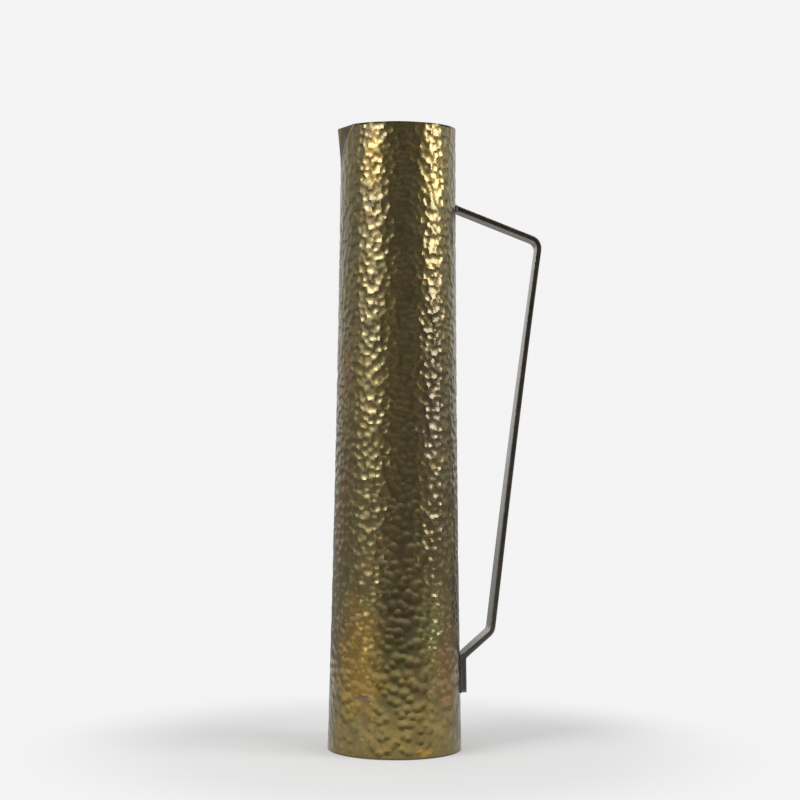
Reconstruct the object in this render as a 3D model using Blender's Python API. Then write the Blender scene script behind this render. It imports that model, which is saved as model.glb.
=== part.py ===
"""A tall hammered brass water pitcher, as separate pieces.

A tapered wall is rolled from sheet and closed by a brazed seam. A round base is let in at the foot, a folded
spout is let into the rim, and a bent strap handle stands off one side, each held by its own solder. Metres,
+Z up. The origin is on the vessel's axis at the underside of the base. The handle points along +X and the
spout along -X, and the XZ plane cuts every piece in half.
"""

import math

import bmesh
import bpy
from mathutils import Vector

# Space left between pieces that touch.
GAP = 0.0003

# Wall: a cone of sheet, drawn in a little between foot and rim.
HEIGHT = 0.380
BASE_RADIUS = 0.0411
RIM_RADIUS = 0.0351
WAIST_DIP = 0.0008
SHEET = 0.0010
FOOT_ROUND = 0.0008
FOOT_ROUND_STEPS = 3
WALL_RINGS = 12
WALL_FACETS = 96

# Seam: the strip of braze that closes the rolled sheet, under the handle.
SEAM_WIDTH = 0.0012
SEAM_HALF_ANGLE = math.asin(SEAM_WIDTH / 2 / RIM_RADIUS)
SLIT_HALF_ANGLE = math.asin((SEAM_WIDTH / 2 + GAP) / RIM_RADIUS)

# Base: a flat disc level with the wall's lower edge, and the solder in the corner above it.
BASE_THICKNESS = 0.0015
BASE_SOLDER_LEG = 0.0025

# Spout: a V cut into the rim, filled by a sheet folded down its middle.
SPOUT_DEPTH = 0.0235
SPOUT_HALF_WIDTH = 0.0195
SPOUT_REACH = 0.0374
SPOUT_TIP_SAG = 0.0009
SPOUT_SOLDER_WIDTH = 0.0008
SPOUT_BLUNT = 0.0010
SPOUT_ROWS = 10

# Handle: half-inch by eighth-inch flat bar, described by its centre line in the XZ plane. A bend is
# (x, z, radius). The bar was bent by hand, so it twists a little, by these degrees, along its runs.
STRAP_WIDTH = 0.0127
STRAP_THICKNESS = 0.0032
STRAP_CHAMFER = 0.0004
BAR_WALL_HEIGHT = 0.3315
UPPER_BEND = (0.0880, 0.3118, 0.0064)
GRIP_BOW = (0.0725, 0.1920, 9.0)
LOWER_BEND = (0.0592, 0.0720, 0.0058)
TAB_TOP_HEIGHT = 0.0566
TAB_END_HEIGHT = 0.0345
TAB_BEND_RADIUS = 0.0036
BAR_TWIST = 2.5
GRIP_TOP_TWIST = -3.5
GRIP_FOOT_TWIST = 3.0
BEND_STEPS = 8

# Solder round the handle's two ends: how far it spreads on the wall and how high it climbs the strap.
TOP_SOLDER_SPREAD = 0.0016
TOP_SOLDER_CLIMB = 0.0018
FOOT_SOLDER_SPREAD = 0.0017
FOOT_SOLDER_CLIMB = 0.0016
SOLDER_CREST = 0.0006

# How far a cutter runs past what it cuts, and the radius of the bore left in the turned cutter.
OVERRUN = 0.004
CUTTER_BORE = 0.010

SMOOTH_ANGLE = math.radians(35)


def outer_radius(z):
    """Radius of the wall's outer face at a height."""
    up = z / HEIGHT
    straight = BASE_RADIUS + (RIM_RADIUS - BASE_RADIUS) * up
    return straight - WAIST_DIP * 4 * up * (1 - up)


def inner_radius(z):
    """Radius of the wall's inner face at a height."""
    return outer_radius(z) - SHEET


def clear_scene():
    """Remove whatever the scene holds."""
    for obj in list(bpy.data.objects):
        bpy.data.objects.remove(obj)


def make_material(name, colour, roughness):
    """A plain metal with the piece's colour."""
    material = bpy.data.materials.new(name)
    material.use_nodes = True
    shader = material.node_tree.nodes["Principled BSDF"]
    shader.inputs["Base Color"].default_value = (*colour, 1)
    shader.inputs["Roughness"].default_value = roughness
    shader.inputs["Metallic"].default_value = 1
    return material


def finish(bm, name, material):
    """Turn a closed bmesh into an object, with its faces outward and its round faces smooth."""
    bmesh.ops.recalc_face_normals(bm, faces=bm.faces)
    mesh = bpy.data.meshes.new(name)
    bm.to_mesh(mesh)
    bm.free()
    mesh.shade_smooth()
    mesh.set_sharp_from_angle(angle=SMOOTH_ANGLE)
    obj = bpy.data.objects.new(name, mesh)
    bpy.context.scene.collection.objects.link(obj)
    if material:
        mesh.materials.append(material)
    return obj


def turn(name, material, profile, start=0.0, sweep=math.tau, steps=WALL_FACETS):
    """Spin a closed profile of (radius, height) points about the vessel's axis."""
    bm = bmesh.new()
    ring = [bm.verts.new((r * math.cos(start), r * math.sin(start), z)) for r, z in profile]
    edges = [bm.edges.new(pair) for pair in zip(ring, ring[1:] + ring[:1])]
    bmesh.ops.spin(bm, geom=ring + edges, cent=(0, 0, 0), axis=(0, 0, 1), angle=sweep, steps=steps)
    if sweep < math.tau:
        bmesh.ops.holes_fill(bm, edges=[edge for edge in bm.edges if edge.is_boundary])
    else:
        bmesh.ops.remove_doubles(bm, verts=bm.verts, dist=GAP / 100)
    return finish(bm, name, material)


def loft(name, material, sections):
    """Join a row of sections, each a loop with the same number of points, and close both ends."""
    bm = bmesh.new()
    loops = [[bm.verts.new(point) for point in section] for section in sections]
    for loop, following in zip(loops, loops[1:]):
        for i in range(len(loop)):
            j = (i + 1) % len(loop)
            bm.faces.new((loop[i], loop[j], following[j], following[i]))
    bm.faces.new(loops[0])
    bm.faces.new(loops[-1])
    return finish(bm, name, material)


def cut(obj, cutter):
    """Take a cutter's shape out of an object."""
    boolean = obj.modifiers.new("cut_" + cutter.name, "BOOLEAN")
    boolean.operation = "DIFFERENCE"
    boolean.object = cutter
    cutter.hide_render = True
    cutter.display_type = "WIRE"


def ring_heights():
    """Heights of the wall's rings, from above the rounded foot to the rim."""
    return [FOOT_ROUND + (HEIGHT - FOOT_ROUND) * i / WALL_RINGS for i in range(WALL_RINGS + 1)]


def wall_profile():
    """Outline of the wall's thickness: a rounded foot, the outer face, the rim and the inner face."""
    foot = []
    for i in range(FOOT_ROUND_STEPS):
        angle = math.pi / 2 * i / FOOT_ROUND_STEPS
        radius = outer_radius(0) - FOOT_ROUND * (1 - math.sin(angle))
        foot.append((radius, FOOT_ROUND * (1 - math.cos(angle))))
    outer = [(outer_radius(z), z) for z in ring_heights()]
    inner = [(inner_radius(z), z) for z in reversed(ring_heights())]
    return foot + outer + inner + [(inner_radius(0), 0)]


def make_wall_cutter():
    """A thick tube whose outside is the wall's outer face grown by the gap."""
    outer = [(outer_radius(z) + GAP, z) for z in ring_heights()]
    return turn("wall_cutter", None, [(CUTTER_BORE, FOOT_ROUND)] + outer + [(CUTTER_BORE, HEIGHT)])


def spout_half_width(z, inset):
    """Half the width of the V at a height, drawn in from the cut in the wall by a distance along the wall."""
    slope = SPOUT_HALF_WIDTH / SPOUT_DEPTH
    return slope * (z - HEIGHT + SPOUT_DEPTH) - inset * math.hypot(1, slope)


def spout_apex(inset):
    """Height at which the V, drawn in by a distance, comes to its point."""
    return HEIGHT - SPOUT_DEPTH + inset * math.hypot(1, SPOUT_DEPTH / SPOUT_HALF_WIDTH)


def on_wall(y, z, depth=0.0):
    """The point of the wall's spout side at a width and a height, a depth below its outer face."""
    radius = outer_radius(z) - depth
    return (-math.sqrt(radius * radius - y * y), y, z)


def make_wall(material, spout_cutter):
    """The hammered tube: open at the top, slit where the seam closes it, notched for the spout."""
    sweep = math.tau - 2 * SLIT_HALF_ANGLE
    wall = turn("body_wall", material, wall_profile(), SLIT_HALF_ANGLE, sweep)
    cut(wall, spout_cutter)
    return wall


def make_spout_cutter():
    """A wedge along -X that takes the V out of the rim."""
    top = HEIGHT + OVERRUN
    half = spout_half_width(top, 0)
    ends = []
    for x in (-BASE_RADIUS - OVERRUN, -CUTTER_BORE):
        ends.append([(x, 0, spout_apex(0)), (x, half, top), (x, -half, top)])
    return loft("spout_cutter", None, ends)


def make_seam(material):
    """The strip of braze in the wall's slit."""
    return turn("body_seam", material, wall_profile(), -SEAM_HALF_ANGLE, 2 * SEAM_HALF_ANGLE, 1)


def make_base(material):
    """The flat disc let into the foot."""
    edge = inner_radius(0) - GAP
    bm = bmesh.new()
    bmesh.ops.create_cone(
        bm, cap_ends=True, segments=WALL_FACETS, radius1=edge, radius2=edge, depth=BASE_THICKNESS
    )
    bmesh.ops.translate(bm, verts=bm.verts, vec=(0, 0, BASE_THICKNESS / 2))
    return finish(bm, "base_disc", material)


def make_base_solder(material):
    """The fillet of solder in the corner between wall and base."""
    low = BASE_THICKNESS + GAP
    high = low + BASE_SOLDER_LEG
    edge = inner_radius(low) - GAP
    profile = [(edge, low), (inner_radius(high) - GAP, high), (edge - BASE_SOLDER_LEG, low)]
    return turn("base_solder", material, profile)


def make_spout(material):
    """The folded lip: two flat sides that meet in a fold, which leans out to the tip."""
    inset = GAP + SPOUT_SOLDER_WIDTH + GAP
    low = spout_apex(inset) + SPOUT_BLUNT
    rows = []
    for i in range(SPOUT_ROWS + 1):
        up = i / SPOUT_ROWS
        edge_z = low + (HEIGHT - low) * up
        fold_z = edge_z - SPOUT_TIP_SAG * up
        fold_x = -outer_radius(low) - (SPOUT_REACH - outer_radius(low)) * up
        half = spout_half_width(edge_z, inset)
        rows.append([
            on_wall(-half, edge_z),
            (fold_x, 0, fold_z),
            on_wall(half, edge_z),
            on_wall(half, edge_z, SHEET),
            (fold_x + SHEET, 0, fold_z),
            on_wall(-half, edge_z, SHEET),
        ])
    return loft("spout", material, rows)


def make_spout_solder(material):
    """The V of solder between the wall and the lip, from the rim down to the point and up again."""
    near = GAP
    far = GAP + SPOUT_SOLDER_WIDTH
    rows = []
    for i in range(-SPOUT_ROWS, SPOUT_ROWS + 1):
        up = abs(i) / SPOUT_ROWS
        side = -1 if i < 0 else 1
        near_z = spout_apex(near) + (HEIGHT - spout_apex(near)) * up
        far_z = spout_apex(far) + (HEIGHT - spout_apex(far)) * up
        near_y = side * spout_half_width(near_z, near)
        far_y = side * spout_half_width(far_z, far)
        rows.append([
            on_wall(near_y, near_z),
            on_wall(far_y, far_z),
            on_wall(far_y, far_z, SHEET),
            on_wall(near_y, near_z, SHEET),
        ])
    return loft("spout_solder", material, rows)


def round_corner(before, corner, after, twists):
    """Points along the arc that rounds the corner of two straight runs, each with its twist."""
    here = Vector(corner[:2])
    into = (here - Vector(before[:2])).normalized()
    away = (Vector(after[:2]) - here).normalized()
    turned = into.angle(away)
    side = math.copysign(1, into.cross(away))
    inward = Vector((-into.y, into.x)) * side
    radius = corner[2]
    start = here - into * radius * math.tan(turned / 2)
    centre = start + inward * radius
    arc = []
    for i in range(BEND_STEPS + 1):
        part = i / BEND_STEPS
        angle = turned * part
        point = centre + (into * math.sin(angle) - inward * math.cos(angle)) * radius
        arc.append((point, twists[0] + (twists[1] - twists[0]) * part))
    return arc


def strap_path():
    """The strap's centre line and twist, from inside the wall's face at the top to the end of the tab."""
    slope = (BAR_WALL_HEIGHT - UPPER_BEND[1]) / (UPPER_BEND[0] - outer_radius(BAR_WALL_HEIGHT))
    start_x = outer_radius(BAR_WALL_HEIGHT) - OVERRUN
    stand_off = GAP + STRAP_THICKNESS / 2
    corners = [
        (start_x, BAR_WALL_HEIGHT + slope * OVERRUN, 0),
        UPPER_BEND,
        GRIP_BOW,
        LOWER_BEND,
        (outer_radius(TAB_TOP_HEIGHT) + stand_off, TAB_TOP_HEIGHT, TAB_BEND_RADIUS),
        (outer_radius(TAB_END_HEIGHT) + stand_off, TAB_END_HEIGHT, 0),
    ]
    twists = [
        (BAR_TWIST, GRIP_TOP_TWIST), (GRIP_TOP_TWIST, GRIP_FOOT_TWIST),
        (GRIP_FOOT_TWIST, GRIP_FOOT_TWIST), (GRIP_FOOT_TWIST, 0),
    ]
    path = [(Vector(corners[0][:2]), BAR_TWIST)]
    for before, corner, after, twist in zip(corners, corners[1:], corners[2:], twists):
        path += round_corner(before, corner, after, twist)
    return path + [(Vector(corners[-1][:2]), 0)]


def strap_sections(path, thickness, width, chamfer):
    """Rectangles with chamfered corners, set square to the path and turned by its twist."""
    half = thickness / 2
    side = width / 2
    outline = [
        (half - chamfer, side), (half, side - chamfer), (half, chamfer - side), (half - chamfer, -side),
        (chamfer - half, -side), (-half, chamfer - side), (-half, side - chamfer), (chamfer - half, side),
    ]
    sections = []
    for i, (point, twist) in enumerate(path):
        along = (path[min(i + 1, len(path) - 1)][0] - path[max(i - 1, 0)][0]).normalized()
        across = Vector((-along.y, along.x))
        cosine = math.cos(math.radians(twist))
        sine = math.sin(math.radians(twist))
        section = []
        for out, y in outline:
            spot = point + across * (out * cosine - y * sine)
            section.append((spot.x, out * sine + y * cosine, spot.y))
        sections.append(section)
    return sections


def make_strap(material, wall_cutter):
    """The bent bar, its top end filed to fit the wall."""
    sections = strap_sections(strap_path(), STRAP_THICKNESS, STRAP_WIDTH, STRAP_CHAMFER)
    strap = loft("handle_strap", material, sections)
    cut(strap, wall_cutter)
    return strap


def make_strap_cutter():
    """The strap grown by the gap on every side, and run on past its foot."""
    path = strap_path()
    foot = path[-1][0]
    path[-1] = (foot + (foot - path[-2][0]).normalized() * GAP, 0)
    grown = 2 * GAP
    sections = strap_sections(path, STRAP_THICKNESS + grown, STRAP_WIDTH + grown, STRAP_CHAMFER)
    return loft("strap_cutter", None, sections)


def frustum(name, material, x_in, x_out, centre_z, half_width, half_height, taper):
    """A block with sloping sides between two upright planes, wide next to the wall."""
    ends = []
    for x, trim in ((x_in, 0), (x_out, taper)):
        y = half_width - trim
        low = centre_z - half_height + trim
        high = centre_z + half_height - trim
        ends.append([(x, -y, low), (x, y, low), (x, y, high), (x, -y, high)])
    return loft(name, material, ends)


def make_top_solder(material, wall_cutter, strap_cutter):
    """The collar of solder where the bar's top end meets the wall."""
    radius = outer_radius(BAR_WALL_HEIGHT)
    edge = math.sqrt(radius ** 2 - (STRAP_WIDTH / 2 + TOP_SOLDER_SPREAD) ** 2)
    spread = TOP_SOLDER_SPREAD
    collar = frustum(
        "handle_top_solder", material, edge - GAP, radius + GAP + TOP_SOLDER_CLIMB, BAR_WALL_HEIGHT,
        STRAP_WIDTH / 2 + spread, STRAP_THICKNESS / 2 + spread, spread - SOLDER_CREST,
    )
    cut(collar, wall_cutter)
    cut(collar, strap_cutter)
    return collar


def make_foot_solder(material, wall_cutter, strap_cutter):
    """The bed of solder round the tab at the strap's foot."""
    centre = (TAB_TOP_HEIGHT + TAB_END_HEIGHT) / 2
    radius = outer_radius(centre)
    spread = FOOT_SOLDER_SPREAD
    edge = math.sqrt(radius ** 2 - (STRAP_WIDTH / 2 + spread) ** 2)
    bed = frustum(
        "handle_foot_solder", material, edge - 2 * GAP, radius + GAP + FOOT_SOLDER_CLIMB, centre,
        STRAP_WIDTH / 2 + spread, (TAB_TOP_HEIGHT - TAB_END_HEIGHT) / 2 + spread, spread - SOLDER_CREST,
    )
    window = frustum(
        "tab_cutter", None, edge - OVERRUN, radius + OVERRUN, centre,
        STRAP_WIDTH / 2 + GAP, (TAB_TOP_HEIGHT - TAB_END_HEIGHT) / 2 + GAP, 0,
    )
    cut(bed, wall_cutter)
    cut(bed, window)
    cut(bed, strap_cutter)
    return bed


def build():
    """Make every piece of the pitcher."""
    clear_scene()
    hammered_brass = make_material("hammered_brass", (0.42, 0.31, 0.10), 0.32)
    plain_brass = make_material("plain_brass", (0.38, 0.29, 0.12), 0.38)
    base_brass = make_material("base_brass", (0.36, 0.27, 0.11), 0.45)
    dark_strap = make_material("dark_strap_brass", (0.16, 0.14, 0.10), 0.40)
    seam_braze = make_material("seam_braze", (0.45, 0.33, 0.14), 0.40)
    dark_solder = make_material("dark_solder", (0.12, 0.11, 0.09), 0.55)
    wall_cutter = make_wall_cutter()
    strap_cutter = make_strap_cutter()
    make_wall(hammered_brass, make_spout_cutter())
    make_seam(seam_braze)
    make_base(base_brass)
    make_base_solder(dark_solder)
    make_spout(plain_brass)
    make_spout_solder(seam_braze)
    make_strap(dark_strap, wall_cutter)
    make_top_solder(dark_solder, wall_cutter, strap_cutter)
    make_foot_solder(dark_solder, wall_cutter, strap_cutter)


build()
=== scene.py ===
"""A tall hammered brass water pitcher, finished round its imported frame.

The pitcher is rolled from sheet, hammered, brazed along one seam and given a folded lip and a bent strap
handle. Every operator makes one piece or one group of like pieces; the last one sets up a plain studio.
Metres, +Z up, with the vessel's axis on Z, the handle along +X and the lip along -X.
"""

import bisect
import math
import random

import bmesh
import bpy
from mathutils import Matrix, Vector, kdtree, noise


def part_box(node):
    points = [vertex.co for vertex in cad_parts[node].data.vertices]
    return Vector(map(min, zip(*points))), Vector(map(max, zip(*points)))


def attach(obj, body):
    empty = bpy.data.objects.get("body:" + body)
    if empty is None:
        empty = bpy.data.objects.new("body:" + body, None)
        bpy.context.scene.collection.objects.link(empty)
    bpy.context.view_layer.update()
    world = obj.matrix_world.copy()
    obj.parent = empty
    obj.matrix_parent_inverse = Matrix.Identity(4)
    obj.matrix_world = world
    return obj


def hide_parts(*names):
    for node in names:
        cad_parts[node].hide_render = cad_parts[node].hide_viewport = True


bl_info = {
    "name": "Hammered Water Pitcher",
    "version": (1, 0, 0),
    "blender": (4, 5, 0),
    "location": "3D View > Sidebar > Pitcher",
    "description": "Makes a tall hammered brass pitcher and a plain studio round it",
    "category": "Add Mesh",
}

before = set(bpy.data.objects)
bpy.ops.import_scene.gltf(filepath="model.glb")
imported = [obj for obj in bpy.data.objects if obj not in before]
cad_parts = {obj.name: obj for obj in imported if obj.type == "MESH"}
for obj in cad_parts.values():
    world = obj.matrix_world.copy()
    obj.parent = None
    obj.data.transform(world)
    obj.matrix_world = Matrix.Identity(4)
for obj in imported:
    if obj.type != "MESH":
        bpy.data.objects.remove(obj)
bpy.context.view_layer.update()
MM = 0.001

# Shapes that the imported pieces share, in metres.
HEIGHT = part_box("body_wall")[1].z
BASE_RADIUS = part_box("body_wall")[1].y
RIM_RADIUS = 0.0351
WAIST_DIP = 0.0008
SHEET = 0.0010
SLIT_HALF_WIDTH = 0.0009
SLIT_HALF_ANGLE = math.asin(SLIT_HALF_WIDTH / RIM_RADIUS)
LIP_DEPTH = 0.0235
LIP_HALF_WIDTH = 0.0195
LIP_REACH = 0.0374
LIP_TIP_SAG = 0.0009
BAR_WALL_HEIGHT = 0.3315

# The bar's corners: distance from the axis, height and radius of the bend.
UPPER_BEND = (0.08797, 0.3118, 0.0064)
GRIP_BOW = (0.0725, 0.1920, 9.0)
LOWER_BEND = (0.0592, 0.0720, 0.0058)
TAB_TOP_HEIGHT = 0.0566
TAB_END_HEIGHT = 0.0345
TAB_BEND_RADIUS = 0.0036
TAB_STAND_OFF = 0.0003

# How the bar is twisted about its own length, in degrees.
BAR_TWIST = 2.5
GRIP_TOP_TWIST = -3.5
GRIP_FOOT_TWIST = 3.0


def length_property(name, description, default):
    """A size that the panel shows in the scene's length unit."""
    return bpy.props.FloatProperty(
        name=name, description=description, default=default, min=0, precision=5, unit="LENGTH"
    )


def colour_property(name, description, default):
    """A metal's colour."""
    return bpy.props.FloatVectorProperty(
        name=name, description=description, default=default, size=3, min=0, max=1, subtype="COLOR"
    )


class PitcherSizes(bpy.types.PropertyGroup):
    """Sizes that a maker would change."""

    blow_spacing: length_property("Blow spacing", "Distance between hammer marks at the rim", 0.0048)
    foot_blow_spacing: length_property("Foot blow spacing", "Distance between marks at the foot", 0.0063)
    blow_depth: length_property("Blow depth", "How deep a full hammer mark goes", 0.00036)
    face_radius: length_property("Hammer face", "Radius of the hammer's domed face", 0.0140)
    strap_width: length_property("Strap width", "Width of the handle's flat bar", 0.0127)
    strap_thickness: length_property("Strap thickness", "Thickness of the handle's flat bar", 0.0032)
    edge_round: length_property("Edge round", "Radius filed on the strap's edges", 0.0004)
    bead: length_property("Solder bead", "Radius of the bead beside the lip", 0.00045)
    seed: bpy.props.IntProperty(name="Seed", description="Another run of hammer blows", default=11)


class PitcherColours(bpy.types.PropertyGroup):
    """Metal colours, as bare metal and as the patina that time leaves on it, some also painted as
    highlight, shade or reflection.
    """

    olive: colour_property("Olive brass", "The wall's main tone", (0.255, 0.200, 0.074))
    # Gold is also painted as the highlight at the top of the right band of reflection.
    gold: colour_property("Golden brass", "Rubbed metal", (0.420, 0.300, 0.085))
    copper: colour_property("Copper brown", "Warm stains", (0.340, 0.170, 0.060))
    green: colour_property("Green", "Thin verdigris tint", (0.205, 0.240, 0.085))
    amber: colour_property("Amber", "Golden-orange stains", (0.480, 0.285, 0.050))
    moss: colour_property("Moss", "Dark green stains", (0.125, 0.140, 0.048))
    plum: colour_property("Plum", "Purple-brown stains", (0.200, 0.150, 0.115))
    # Umber is also painted as shade: along the ridges between the dishes, and lower down the right band of
    # reflection.
    umber: colour_property("Umber", "Oldest, darkest patina", (0.110, 0.080, 0.035))
    strap: colour_property("Strap", "The bar's dark brown-grey", (0.100, 0.076, 0.056))
    slate: colour_property("Slate", "Blue-grey bloom on bar and solder", (0.045, 0.052, 0.049))
    # Painted reflection: the pale grey laid on the bar's inner face, where it looks towards the vessel,
    # stands for the bright floor it mirrors.
    painted_reflection: colour_property("Gripped face", "The bar's inner face, rubbed bare", (0.560, 0.545, 0.520))
    worn: colour_property("Worn edge", "Rubbed edges of the bar", (0.300, 0.260, 0.200))
    braze: colour_property("Braze", "The filler in the seam", (0.400, 0.310, 0.150))
    # Lip braze: the bead's filler colour, partly a painted highlight, kept pale so the crease beside the
    # lip shows as a light line.
    lip_braze_and_highlight: colour_property("Lip braze", "The pale bead beside the lip", (0.620, 0.560, 0.420))


class PitcherStage(bpy.types.PropertyGroup):
    """The camera's place and the studio's light."""

    lens: bpy.props.FloatProperty(name="Lens", description="Focal length in mm", default=86.0)
    distance: length_property("Distance", "Camera to the pitcher's axis", 1.174)
    eye_height: length_property("Eye height", "Camera above the table", 0.2107)
    azimuth: bpy.props.FloatProperty(
        name="Azimuth", description="Turn about the pitcher", default=math.radians(-7), subtype="ANGLE"
    )
    roll: bpy.props.FloatProperty(
        name="Roll", description="Tilt of the horizon", default=math.radians(0.372), subtype="ANGLE"
    )
    shift_x: bpy.props.FloatProperty(name="Shift X", description="Lens shift", default=0.0042, precision=4)
    shift_y: bpy.props.FloatProperty(name="Shift Y", description="Lens shift", default=0.00625, precision=4)
    paper: bpy.props.FloatProperty(name="Paper", description="Brightness of the paper", default=0.90)


# ---------------------------------------------------------------- working at the bench

def put_down_all():
    """Select nothing."""
    bpy.ops.object.select_all(action="DESELECT")


def take_up(obj):
    """Make one object the only selected one."""
    put_down_all()
    obj.select_set(True)
    bpy.context.view_layer.objects.active = obj


def name_piece(name):
    """Give the object in hand and its mesh a name."""
    obj = bpy.context.object
    obj.name = name
    obj.data.name = name
    return obj


def settle():
    """Put the object's place, turn and scale into its mesh."""
    bpy.ops.object.transform_apply(location=True, rotation=True, scale=True)


def open_mesh():
    """Go into edit mode with the whole mesh selected."""
    bpy.ops.object.mode_set(mode="EDIT")
    bpy.ops.mesh.select_all(action="SELECT")


def close_mesh():
    """Go back to object mode."""
    bpy.ops.object.mode_set(mode="OBJECT")


def middle(part):
    """The middle of a vertex, an edge or a face."""
    if isinstance(part, bmesh.types.BMVert):
        return part.co
    if isinstance(part, bmesh.types.BMEdge):
        return (part.verts[0].co + part.verts[1].co) / 2
    return part.calc_center_median()


def write_attribute(obj, name, values):
    """Keep one number for each vertex, for the piece's metal to read."""
    obj.data.attributes.new(name, "FLOAT", "POINT").data.foreach_set("value", values)


def pick(obj, kind, test):
    """In edit mode, select the vertices, edges or faces that pass a test."""
    bpy.ops.mesh.select_mode(type=kind)
    bpy.ops.mesh.select_all(action="DESELECT")
    shape = bmesh.from_edit_mesh(obj.data)
    for part in {"VERT": shape.verts, "EDGE": shape.edges, "FACE": shape.faces}[kind]:
        if test(part):
            part.select_set(True)
    bmesh.update_edit_mesh(obj.data)


def face_outward():
    """In edit mode, turn the faces of a closed piece outward, and those of a sheet all to one side."""
    bpy.ops.mesh.select_all(action="SELECT")
    bpy.ops.mesh.normals_make_consistent(inside=False)


def reshape(obj, move):
    """In object mode, move every vertex to where a rule puts it."""
    for vertex in obj.data.vertices:
        vertex.co = move(vertex.co)
    obj.data.update()


def apply_modifier(obj, name, kind, **settings):
    """Add a modifier, set it and apply it."""
    take_up(obj)
    modifier = obj.modifiers.new(name, kind)
    for key, value in settings.items():
        setattr(modifier, key, value)
    bpy.ops.object.modifier_apply(modifier=modifier.name)


def smooth(obj, degrees=35):
    """Shade round faces smooth and keep sharp edges."""
    take_up(obj)
    bpy.ops.object.shade_smooth_by_angle(angle=math.radians(degrees))


def finish_piece(obj, slot, *nodes):
    """Set a made piece on the pitcher's body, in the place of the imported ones."""
    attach(obj, "root")
    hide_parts(*nodes)


def upright(edge):
    """Whether an edge runs along Z and isn't one of the tiny ones of a rounded corner."""
    rise = abs(edge.verts[0].co.z - edge.verts[1].co.z)
    return rise > MM and rise > 0.98 * edge.calc_length()


def divide(obj, test, *passes):
    """In edit mode, divide the edges that pass a test, again and again: (5, 3) makes 5 times 3 parts."""
    for parts in passes:
        pick(obj, "EDGE", test)
        bpy.ops.mesh.subdivide(number_cuts=parts - 1)


def path_lengths(path):
    """How far along the path each of its points is."""
    lengths = [0.0]
    for here, there in zip(path, path[1:]):
        lengths.append(lengths[-1] + (there - here).length)
    return lengths


def bend_along(bar, path, level, twists=None):
    """Bend a straight upright bar along a path. Its Y side keeps to the level direction, save for twist."""
    lengths = path_lengths(path)
    last = len(path) - 1
    ways = [(path[min(i + 1, last)] - path[max(i - 1, 0)]).normalized() for i in range(last + 1)]

    def place(co):
        """Where a point of the straight bar comes to lie."""
        i = min(last - 1, max(0, bisect.bisect_right(lengths, co.z) - 1))
        part = (co.z - lengths[i]) / (lengths[i + 1] - lengths[i])
        point = path[i].lerp(path[i + 1], part)
        way = ways[i].lerp(ways[i + 1], part).normalized()
        side = (level - way * level.dot(way)).normalized()
        across = way.cross(side)
        turn = twists[i] + (twists[i + 1] - twists[i]) * part if twists else 0.0
        out = co.x * math.cos(turn) - co.y * math.sin(turn)
        along = co.x * math.sin(turn) + co.y * math.cos(turn)
        return point + across * out + side * along

    reshape(bar, place)


def add_rod(name, length, radius, sides, *passes):
    """A straight round rod standing on the origin, divided along its length."""
    put_down_all()
    bpy.ops.mesh.primitive_cylinder_add(vertices=sides, radius=1, depth=length, location=(0, 0, length / 2))
    rod = name_piece(name)
    rod.scale = (radius, radius, 1)
    settle()
    open_mesh()
    divide(rod, upright, *passes)
    close_mesh()
    return rod


BAR_WIDTH_PARTS = 6
BAR_DEPTH_PARTS = 3
CORNER_SEGMENTS = 3


def lies_across(axis, longer_than):
    """A test for the edges that run more than a length along X (0) or Y (1)."""
    return lambda edge: abs(edge.verts[0].co[axis] - edge.verts[1].co[axis]) > longer_than


def add_bar(name, thickness, width, length, edge_round, *passes):
    """A straight flat bar standing on the origin, its edges rounded and its faces divided."""
    put_down_all()
    bpy.ops.mesh.primitive_cube_add(size=1, location=(0, 0, length / 2))
    bar = name_piece(name)
    bar.scale = (thickness, width, length)
    settle()
    open_mesh()
    bpy.ops.mesh.bevel(offset=edge_round, segments=CORNER_SEGMENTS, affect="EDGES")
    divide(bar, lies_across(1, width / 2), BAR_WIDTH_PARTS)
    divide(bar, lies_across(0, thickness / 2), BAR_DEPTH_PARTS)
    divide(bar, upright, *passes)
    close_mesh()
    return bar


# ---------------------------------------------------------------- the vessel's form

def outer_radius(z):
    """Radius of the wall's outer face at a height."""
    up = z / HEIGHT
    straight = BASE_RADIUS + (RIM_RADIUS - BASE_RADIUS) * up
    return straight - WAIST_DIP * 4 * up * (1 - up)


def lip_half_width(z):
    """Half the width of the lip's V at a height."""
    return max(0.0, LIP_HALF_WIDTH / LIP_DEPTH * (z - HEIGHT + LIP_DEPTH))


def on_wall(y, z, depth=0.0):
    """The point of the wall's lip side at a width and a height, a depth below its outer face."""
    radius = outer_radius(z) - depth
    return Vector((-math.sqrt(radius * radius - y * y), y, z))


def fade(value, start, end):
    """0 before start, 1 after end, and smooth between."""
    part = min(1.0, max(0.0, (value - start) / (end - start)))
    return part * part * (3 - 2 * part)


# ---------------------------------------------------------------- the hammered wall

# The mesh of the wall. The outer rows are divided twice, and edges over RIDGE_ANGLE degrees stay sharp.
WALL_ROWS = (12, 30)
WALL_COLUMNS = 230
INNER_ROWS = 12
EDGE_ROUND = 0.00025
RIDGE_ANGLE = 13

# Where the blows land. Jitter and pitch are shares of the spacing between two marks.
BLOW_JITTER = 0.38
ROW_PITCH = 0.82
SPIRAL_ROWS = 6
FOOT_BAND = 0.10
MISSED_BLOWS = 0.05

# How hard they land, and how the hammer's face varies.
FORCE = (0.4, 1.0)
FORCE_SIZE = 0.018
FORCE_DRIFT = 0.5
MEAN_FORCE = 0.8
FOOT_FORCE = 0.70
FACE_RANGE = (0.65, 1.5)

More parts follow.
